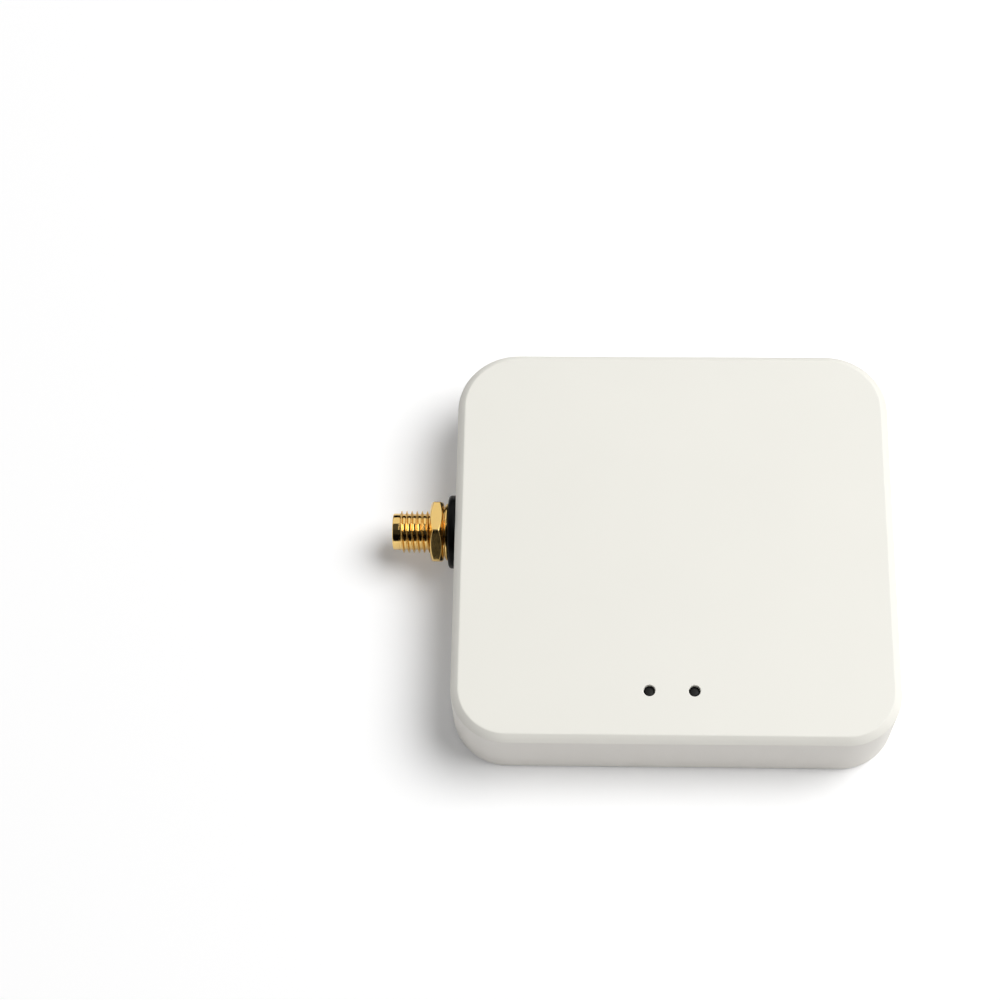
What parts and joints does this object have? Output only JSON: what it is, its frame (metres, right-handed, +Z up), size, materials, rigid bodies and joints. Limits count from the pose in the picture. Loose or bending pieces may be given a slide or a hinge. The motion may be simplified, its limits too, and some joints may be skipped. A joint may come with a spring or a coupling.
{
  "type": "wireless gateway",
  "caption": "Low square plastic box with rounded corners, bevelled top edge, indicator holes and a threaded coaxial antenna jack on one side.",
  "frame": {"origin": "middle of the whole part's outline, jack included, at the level of the feet's undersides", "axes": "+Z up through the roof, +Y towards the power socket in the back wall, antenna jack on the -X side"},
  "size_m": [0.0734, 0.061, 0.0125],
  "materials": {
    "shell_plastic": "fine moulded texture",
    "base_plastic": "fine moulded texture",
    "foot_rubber": "matt",
    "seal_rubber": "satin",
    "screw_steel": "zinc plated",
    "gold_plate": "polished gold plate",
    "insulator_white": "smooth",
    "board_laminate": "solder mask",
    "module_laminate": "solder mask",
    "shield_tin": "tinned sheet",
    "lead_jacket": "smooth",
    "socket_steel": "drawn sheet",
    "tongue_black": "moulded",
    "pipe_smoke": "smoky clear",
    "lamp_cream": "clear over phosphor",
    "chip_black": "moulded",
    "ferrite_grey": "pressed",
    "tantalum_body": "moulded",
    "chip_ceramic": "fired"
  },
  "bodies": {
    "root": {"top_housing": "shell_plastic", "base_plate": "base_plastic", "rubber_feet": "foot_rubber", "housing_screws": "screw_steel", "circuit_board": "board_laminate", "board_screws": "screw_steel", "jack_body": "gold_plate", "jack_insulator": "insulator_white", "jack_contact": "gold_plate", "jack_nut": "gold_plate", "jack_lock_washer": "gold_plate", "jack_seal": "seal_rubber", "crimp_sleeve": "gold_plate", "antenna_lead": "lead_jacket", "lead_plug": "gold_plate", "lead_socket": "gold_plate", "usb_shell": "socket_steel", "usb_tongue": "tongue_black", "usb_contacts": "gold_plate", "main_radio_board": "module_laminate", "main_radio_shield": "shield_tin", "second_radio_board": "module_laminate", "second_radio_shield": "shield_tin", "power_led": "lamp_cream", "status_led": "lamp_cream", "power_light_pipe": "pipe_smoke", "status_light_pipe": "pipe_smoke", "voltage_regulator": "chip_black", "power_inductor": "ferrite_grey", "serial_chip": "chip_black", "crystal": "shield_tin", "storage_capacitors": "tantalum_body", "chip_capacitors": "chip_ceramic", "chip_resistors": "chip_black"}
  },
  "joints": []
}
